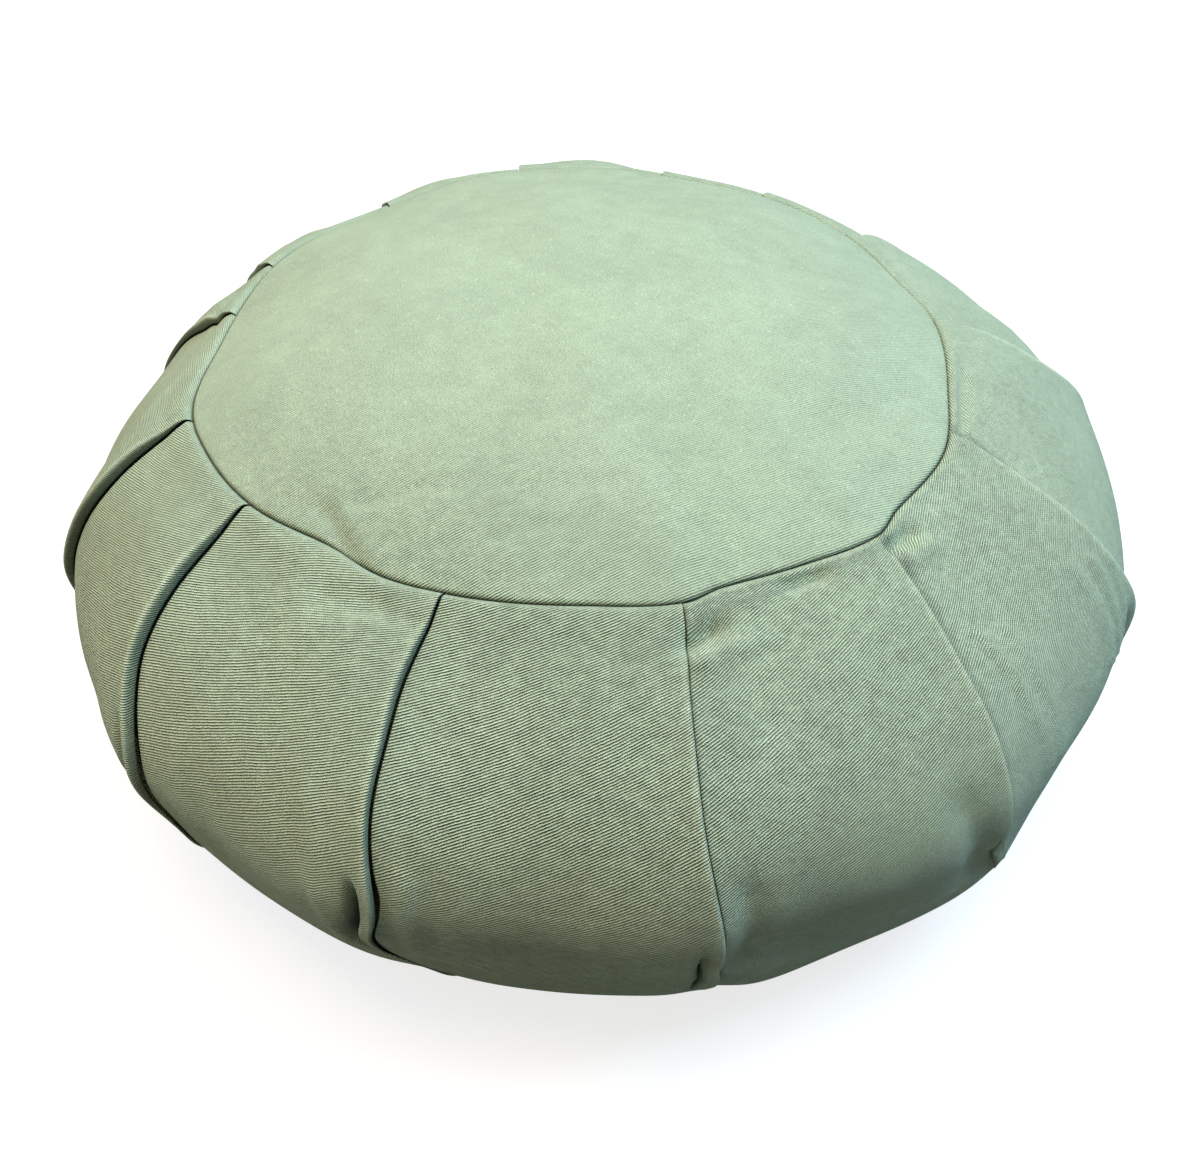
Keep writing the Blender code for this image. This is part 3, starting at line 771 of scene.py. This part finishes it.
def make_top_panel():
    """The domed top panel, a sheet whose rim rolls down into the seam."""
    azimuth = np.linspace(0.0, 360.0, AROUND_TOP, endpoint=False)[None, :]
    share = np.linspace(0.0, 1.0, TOP_RINGS + 1)[1:]
    lip = 1.0 - np.array(LIP_ROWS[::-1]) * TOP_LIP / SEAM_RADIUS
    share = np.concatenate((share[share < lip[0] - LIP_CLEAR], lip))[:, None]
    edge = SEAM_RADIUS + seam_out(azimuth) - SEAM_GAP
    radius = edge * share
    inward = edge - radius
    points = place(radius, azimuth, crown_height(share, azimuth))
    lift = SWELL * swell(points, TOP_SWELL) * smooth(*SWELL_GROWS, inward) + top_lift(points)
    points[..., 2] += lift - rolled_in(inward, TOP_LIP)
    middle = points[0].mean(axis=0, keepdims=True)
    middle[0, 2] = points[0, :, 2].mean()
    outwards = np.concatenate((np.broadcast_to(middle, points[:1].shape), points))
    from_centre = np.cumsum(np.linalg.norm(np.diff(outwards, axis=0), axis=2), axis=0)
    turn = np.radians(azimuth)
    cloth = from_centre[..., None] * np.stack((np.sin(turn), -np.cos(turn)), axis=-1)
    flat = np.concatenate((points.reshape(-1, 3), middle))
    cloth = np.concatenate((cloth.reshape(-1, 2), [[0.0, 0.0]]))
    faces = round_faces(*points.shape[:2])
    piece = mesh_from("top_round", flat, faces, cloth[[i for face in faces for i in face]])
    from_middle = np.hypot(flat[:, 0] - middle[0, 0], flat[:, 1] - middle[0, 1])
    towards = np.degrees(np.arctan2(flat[:, 0] - middle[0, 0], middle[0, 1] - flat[:, 1]))
    crisp = RUBBED + (round_and_round(RIM_CRISP, towards) - RUBBED) * smooth(*RUBBED_TO, from_middle)
    painted_shade = np.append(seam_shade(azimuth, inward), 0.0)
    mark(piece, worn_edge_and_highlight=np.zeros(len(flat)), crisp=crisp, painted_shade=painted_shade)
    return with_thickness(piece)


def deselect_all():
    """Leaves nothing selected; loading the frame selects its nodes."""
    for other in list(bpy.context.selected_objects):
        other.select_set(False)


def with_thickness(piece):
    """Gives a sheet its thickness, inwards from its outer face."""
    deselect_all()
    bpy.context.view_layer.objects.active = piece
    piece.select_set(True)
    modifier = piece.modifiers.new("cloth_thickness", "SOLIDIFY")
    modifier.thickness = SHEET
    modifier.offset = -1.0
    bpy.ops.object.modifier_apply(modifier=modifier.name)
    return piece


def make_bottom_panel():
    """The flat bottom panel, which rests on the floor."""
    azimuth = np.linspace(0.0, 360.0, AROUND_BOTTOM, endpoint=False)[None, :]
    radius = (BOTTOM_SEAM_RADIUS - BOTTOM_GAP) * np.array(BOTTOM_RINGS)[:, None]
    points = place(radius, azimuth, 0.0 * radius)
    flat = np.concatenate((points.reshape(-1, 3), [[*BELLY_CENTRE, 0.0]]))
    faces = [face[::-1] for face in round_faces(*points.shape[:2])]
    uv = flat[[i for face in faces for i in face]][:, :2]
    piece = mesh_from("bottom_round", flat, faces, uv)
    none = np.zeros(len(flat))
    mark(piece, worn_edge_and_highlight=none, crisp=none + 1.0, painted_shade=none)
    return with_thickness(piece)


# ---- the cloth's finish ------------
LIGHT_GREEN = (0.66, 0.78, 0.58, 1.0)      # the tops of the wales
DARK_GREEN = (0.17, 0.23, 0.145, 1.0)      # the furrows between them, their darkness partly painted shade
PALE_GREEN = (0.70, 0.80, 0.60, 1.0)       # nubs, and worn folds with a painted highlight
PAINTED_SHADE_GREEN = (0.06, 0.08, 0.06, 1.0)     # painted shade: takes the cloth down in creases, along the seam and in hollows
SHEEN_GREEN = (0.86, 0.92, 0.78, 1.0)
NUB_PALENESS = 0.45           # how far the nubs take up the pale green,
WEAR_AND_HIGHLIGHT_PALENESS = 0.45          # and the worn folds with their painted highlight
PAINTED_SHADE_STRENGTH = 0.95           # how far the painted shade takes the cloth to its green
WALE_PITCH = 0.00070          # from wale to wale
WALE_ANGLE = 25.0             # degrees above the panel's level line
FLOAT_PITCH = 0.00062         # from one float of the yarn to the next along a wale
SLOW_BEND = 0.0012            # how far the wales wander,
QUICK_BEND = 0.00028          # and waver
YARN_GRID = (2400.0, 480.0, 1.0)           # how many in a metre, along the band and up it
NUB_GRID = (1000.0, 600.0, 1.0)            # and of nubs
# Noises over the cloth, whose place is in metres: scale, detail, roughness and, for a mask, the values that
# become its 0 and 1.
NOISES = {
    "slow_bend": (55.0, 1.0, 0.5, None),
    "quick_bend": (600.0, 2.0, 0.5, None),
    "patches": (300.0, 3.0, 0.7, (0.34, 0.66)),
    "yarn": (1.0, 2.0, 0.6, (0.3, 0.7)),
    "fuzz": (2200.0, 2.0, 0.7, (0.3, 0.7)),
    "nubs": (1.0, 1.0, 0.4, (0.68, 0.76)),
    "slow_fade": (26.0, 3.0, 0.6, None),
    "quick_fade": (130.0, 3.0, 0.6, None),
}
FLATTEST_WALE = 0.42          # how much of its height the wale keeps in the flattest patches
FLOAT_RELIEF, YARN_RELIEF, FUZZ_RELIEF = 0.10, 0.14, 0.16      # heights against 1 for the wale,
RELIEF = 0.00055              # whose own height is this
WALE_SHADE, YARN_SHADE, FUZZ_SHADE = 1.1, 0.16, 0.22           # how much lighter each makes the cloth; the wale's share is partly painted relief shade
FLAT_SHADE = 0.415            # the mean shade where the wale is flat, and where it is full: painted light that makes the top's rubbed middle and the back darker and the front lighter
FULL_SHADE = 0.56             # and where it is full
SLOW_FADE, QUICK_FADE = 0.55, 0.45         # how much each of its two noises counts in the fade
FADE_VALUES = (0.3, 0.7, 0.88, 1.12)       # the fade's low and high, and how bright they make the cloth
RUBBED = 0.28                 # how crisp the wale still is in the middle of the top, where it is rubbed
RUBBED_TO = (0.05, 0.112)     # metres from the middle where it becomes that of the rim
RIM_CRISP = (                 # by azimuth in degrees; crisper wales are also painted lighter and with more painted shade
    (0.0, 0.66), (25.0, 0.46), (60.0, 0.36), (110.0, 0.34), (180.0, 0.36), (250.0, 0.36), (300.0, 0.5),
    (335.0, 0.8),
)
SIDE_CRISP = (                # and on the side, by azimuth in degrees
    (0.0, 1.25), (8.0, 1.25), (13.0, 1.05), (50.0, 1.0), (70.0, 0.85), (100.0, 0.6), (180.0, 0.6),
    (260.0, 0.6), (290.0, 0.85), (310.0, 1.0), (336.0, 1.0), (344.0, 1.25),
)


def give(node, values):
    """Sets a node's sockets by name."""
    for name, value in values.items():
        node.inputs[name].default_value = value


class Wiring:
    """Short ways to add and join nodes."""

    def __init__(self, tree):
        self.tree = tree

    def add(self, kind, **settings):
        node = self.tree.nodes.new(kind)
        for name, value in settings.items():
            setattr(node, name, value)
        return node

    def join(self, source, target):
        self.tree.links.new(source, target)

    def feed(self, socket, value):
        if isinstance(value, bpy.types.NodeSocket):
            self.join(value, socket)
        elif value is not None:
            socket.default_value = value

    def math(self, operation, a, b=None, clamp=False):
        node = self.add("ShaderNodeMath", operation=operation, use_clamp=clamp)
        self.feed(node.inputs[0], a)
        self.feed(node.inputs[1], b)
        return node.outputs[0]

    def noise(self, vector, name):
        """A noise of the table, spread to 0 and 1 if it is a mask."""
        scale, detail, roughness, mask = NOISES[name]
        node = self.add("ShaderNodeTexNoise")
        self.join(vector, node.inputs["Vector"])
        give(node, {"Scale": scale, "Detail": detail, "Roughness": roughness})
        return self.spread(node.outputs["Fac"], *mask) if mask else node.outputs["Fac"]

    def spread(self, value, low, high, to_low=0.0, to_high=1.0):
        node = self.add("ShaderNodeMapRange")
        self.join(value, node.inputs["Value"])
        give(node, {"From Min": low, "From Max": high, "To Min": to_low, "To Max": to_high})
        return node.outputs["Result"]

    def stretched(self, vector, scale):
        node = self.add("ShaderNodeVectorMath", operation="MULTIPLY")
        self.join(vector, node.inputs[0])
        node.inputs[1].default_value = scale
        return node.outputs[0]

    def mark(self, name):
        """Reads what mark() stored on the piece."""
        return self.add("ShaderNodeAttribute", attribute_name=name).outputs["Fac"]

    def mix(self, blend, factor, under, over):
        """Lays one colour over another."""
        node = self.add("ShaderNodeMix", data_type="RGBA", blend_type=blend)
        for name, value in (("Factor", factor), ("A", under), ("B", over)):
            self.feed(node.inputs[name], value)
        return node.outputs["Result"]


def twill_group():
    """Twill cloth: from a place on the cloth in metres to its wales, yarns, nubs and faded patches."""
    tree = bpy.data.node_groups.new("cotton_twill", "ShaderNodeTree")
    tree.interface.new_socket("Cloth", in_out="INPUT", socket_type="NodeSocketVector")
    tree.interface.new_socket("Crisp", in_out="INPUT", socket_type="NodeSocketFloat")
    for name in ("Height", "Shade", "Nubs", "Fade"):
        tree.interface.new_socket(name, in_out="OUTPUT", socket_type="NodeSocketFloat")
    w = Wiring(tree)
    given = w.add("NodeGroupInput")
    cloth = given.outputs["Cloth"]
    turned = w.add("ShaderNodeMapping", vector_type="POINT")
    turned.inputs["Rotation"].default_value = (0.0, 0.0, -math.radians(WALE_ANGLE))
    w.join(cloth, turned.inputs["Vector"])
    parts = w.add("ShaderNodeSeparateXYZ")
    w.join(turned.outputs[0], parts.inputs[0])
    along, over = parts.outputs["X"], parts.outputs["Y"]
    slow_bend = w.math("MULTIPLY", w.noise(cloth, "slow_bend"), SLOW_BEND)
    quick_bend = w.math("MULTIPLY", w.noise(cloth, "quick_bend"), QUICK_BEND)
    over = w.math("ADD", over, w.math("ADD", slow_bend, quick_bend))
    phase = w.math("MULTIPLY", over, 2 * math.pi / WALE_PITCH)
    wale = w.spread(w.math("SINE", phase), -1.0, 1.0)
    float_phase = w.math("MULTIPLY", along, 2 * math.pi / FLOAT_PITCH)
    float_phase = w.math("ADD", float_phase, w.math("MULTIPLY", phase, 0.5))
    floats = w.spread(w.math("SINE", float_phase), -1.0, 1.0)
    patches = w.spread(w.noise(cloth, "patches"), 0.0, 1.0, FLATTEST_WALE, 1.0)
    strength = w.math("MULTIPLY", patches, given.outputs["Crisp"])
    yarn = w.noise(w.stretched(cloth, YARN_GRID), "yarn")
    fuzz = w.noise(cloth, "fuzz")
    height = w.math("MULTIPLY", wale, strength)
    for part, relief in ((floats, FLOAT_RELIEF), (yarn, YARN_RELIEF), (fuzz, FUZZ_RELIEF)):
        height = w.math("ADD", height, w.math("MULTIPLY", part, relief))
    # Painted shade: the furrows are darkened in the colour as well as sunk in the bump.
    ribbed = w.math("MULTIPLY", w.math("SUBTRACT", wale, 0.5), strength)
    mean = w.spread(strength, 0.0, 1.0, FLAT_SHADE, FULL_SHADE)
    shade = w.math("ADD", w.math("MULTIPLY", ribbed, WALE_SHADE), mean)
    shade = w.math("ADD", shade, w.math("MULTIPLY", w.math("SUBTRACT", yarn, 0.5), YARN_SHADE))
    fuzzy = w.math("MULTIPLY", w.math("SUBTRACT", fuzz, 0.5), FUZZ_SHADE)
    slow_fade = w.math("MULTIPLY", w.noise(cloth, "slow_fade"), SLOW_FADE)
    quick_fade = w.math("MULTIPLY", w.noise(cloth, "quick_fade"), QUICK_FADE)
    out = w.add("NodeGroupOutput")
    w.join(height, out.inputs["Height"])
    w.join(w.math("ADD", shade, fuzzy, clamp=True), out.inputs["Shade"])
    w.join(w.noise(w.stretched(cloth, NUB_GRID), "nubs"), out.inputs["Nubs"])
    w.join(w.math("ADD", slow_fade, quick_fade), out.inputs["Fade"])
    return tree


def twill(name, group):
    """Sage green cotton twill, paler at its nubs and its worn folds, which also carry a painted highlight,
    and nearly black with painted shade in its creases, seam and hollows.
    """
    material = bpy.data.materials.new(name)
    material.use_nodes = True
    w = Wiring(material.node_tree)
    weave = w.add("ShaderNodeGroup", node_tree=group)
    w.join(w.add("ShaderNodeUVMap", uv_map="cloth").outputs["UV"], weave.inputs["Cloth"])
    w.join(w.mark("crisp"), weave.inputs["Crisp"])
    green = w.mix("MIX", weave.outputs["Shade"], DARK_GREEN, LIGHT_GREEN)
    nubs = w.math("MULTIPLY", weave.outputs["Nubs"], NUB_PALENESS)
    paler = w.math("ADD", nubs, w.math("MULTIPLY", w.mark("worn_edge_and_highlight"), WEAR_AND_HIGHLIGHT_PALENESS))
    faded = w.add("ShaderNodeHueSaturation")
    w.join(w.mix("MIX", paler, green, PALE_GREEN), faded.inputs["Color"])
    w.join(w.spread(weave.outputs["Fade"], *FADE_VALUES), faded.inputs["Value"])
    # Painted shade in creases, along the seam and in hollows.
    painted_shade = w.math("MULTIPLY", w.mark("painted_shade"), PAINTED_SHADE_STRENGTH)
    shaded = w.mix("MULTIPLY", painted_shade, faded.outputs["Color"], PAINTED_SHADE_GREEN)
    shader = material.node_tree.nodes["Principled BSDF"]
    w.join(shaded, shader.inputs["Base Color"])
    give(shader, {"Roughness": 0.92, "Specular IOR Level": 0.25})
    give(shader, {"Sheen Weight": 0.12, "Sheen Roughness": 0.45, "Sheen Tint": SHEEN_GREEN})
    bump = w.add("ShaderNodeBump")
    give(bump, {"Strength": 1.0, "Distance": RELIEF})
    w.join(weave.outputs["Height"], bump.inputs["Height"])
    w.join(bump.outputs["Normal"], shader.inputs["Normal"])
    return material


# ---- the studio ------------
FLOOR_SIZE = 12.0
FLOOR_HEIGHT = -0.0002        # just under the bottom panel
FLOOR_GREY = (0.35, 0.35, 0.35, 1.0)
FLOOR_GLOW = 0.78             # keeps the floor pale where the camera sees it
THROWN_GREY = (0.30, 0.30, 0.285, 1.0)     # the light that it throws back on the cushion
WHITE = (1.0, 1.0, 1.0, 1.0)
SURROUND_LIGHT = 0.02
LIGHTS_AIM = (0.0, 0.0, 0.03)
LIGHT_COLUMNS = ("name", "place_at", "size", "power", "colour")
LIGHT_ROWS = (
    ("overhead", (-0.10, 0.07, 1.6), 1.0, 25.5, (1.0, 0.808, 0.572)),
    ("right_cool", (0.95, 0.15, 1.3), 0.8, 26.0, (0.44, 0.735, 1.0)),
    ("left_cool", (-1.0, 0.05, 1.2), 0.8, 6.0, (0.54, 0.74, 1.0)),
    ("left_warm", (-1.4, -0.25, 0.65), 0.9, 3.7, (1.0, 0.78, 0.34)),
)


def pale_floor():
    """A pale floor that throws little light back, so that the cushion's underside stays in shade."""
    material = bpy.data.materials.new("pale_floor")
    material.use_nodes = True
    w = Wiring(material.node_tree)
    seen = material.node_tree.nodes["Principled BSDF"]
    give(seen, {"Base Color": FLOOR_GREY, "Roughness": 1.0, "Specular IOR Level": 0.0})
    give(seen, {"Emission Color": WHITE, "Emission Strength": FLOOR_GLOW})
    thrown = w.add("ShaderNodeBsdfDiffuse")
    give(thrown, {"Color": THROWN_GREY})
    choice = w.add("ShaderNodeMixShader")
    w.join(w.add("ShaderNodeLightPath").outputs["Is Camera Ray"], choice.inputs["Fac"])
    w.join(thrown.outputs[0], choice.inputs[1])
    w.join(seen.outputs[0], choice.inputs[2])
    w.join(choice.outputs[0], material.node_tree.nodes["Material Output"].inputs["Surface"])
    return material


def make_floor():
    bpy.ops.mesh.primitive_plane_add(size=FLOOR_SIZE, location=(0.0, 0.0, FLOOR_HEIGHT))
    floor = bpy.context.active_object
    floor.name = "studio_floor"
    floor.data.materials.append(pale_floor())


def add_area(name, place_at, size, power, colour):
    """A soft studio light at a place, aimed at the cushion."""
    light = bpy.data.lights.new(name, "AREA")
    light.shape = "RECTANGLE"
    light.size = light.size_y = size
    light.energy = power
    light.color = colour
    lamp = bpy.data.objects.new(name, light)
    bpy.context.scene.collection.objects.link(lamp)
    lamp.location = place_at
    lamp.rotation_mode = "QUATERNION"
    lamp.rotation_quaternion = (Vector(LIGHTS_AIM) - Vector(place_at)).to_track_quat("-Z", "Y")


def light_studio():
    """A pale surround, and soft lights from above and both sides."""
    world = bpy.data.worlds.new("studio")
    bpy.context.scene.world = world
    world.use_nodes = True
    w = Wiring(world.node_tree)
    surround = world.node_tree.nodes["Background"]
    give(surround, {"Color": WHITE})
    seen = w.add("ShaderNodeLightPath").outputs["Is Camera Ray"]
    w.join(w.spread(seen, 0.0, 1.0, SURROUND_LIGHT, 1.0), surround.inputs["Strength"])
    for row in LIGHT_ROWS:
        add_area(**dict(zip(LIGHT_COLUMNS, row)))
    bpy.context.scene.view_settings.view_transform = "Standard"


def make_camera():
    camera = bpy.data.cameras.new("camera")
    camera.lens = LENS
    camera.sensor_width = SENSOR
    camera.clip_start = 0.01
    holder = bpy.data.objects.new("camera", camera)
    bpy.context.scene.collection.objects.link(holder)
    tilt = Matrix.Rotation(math.radians(90.0 - CAMERA_DOWN), 4, "X")
    roll = Matrix.Rotation(math.radians(CAMERA_ROLL), 4, "Z")
    holder.matrix_world = Matrix.Translation(CAMERA_AT) @ tilt @ roll
    bpy.context.scene.camera = holder


def main():
    deselect_all()
    group = twill_group()
    side = make_pleated_side()
    top = make_top_panel()
    bottom = make_bottom_panel()
    for piece in (side, top, bottom):
        piece.data.materials.append(twill(piece.name + "_twill", group))
        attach(piece, "root")
    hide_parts("pleated_side")
    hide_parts("top_panel")
    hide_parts("bottom_panel")
    make_floor()
    light_studio()
    make_camera()


main()
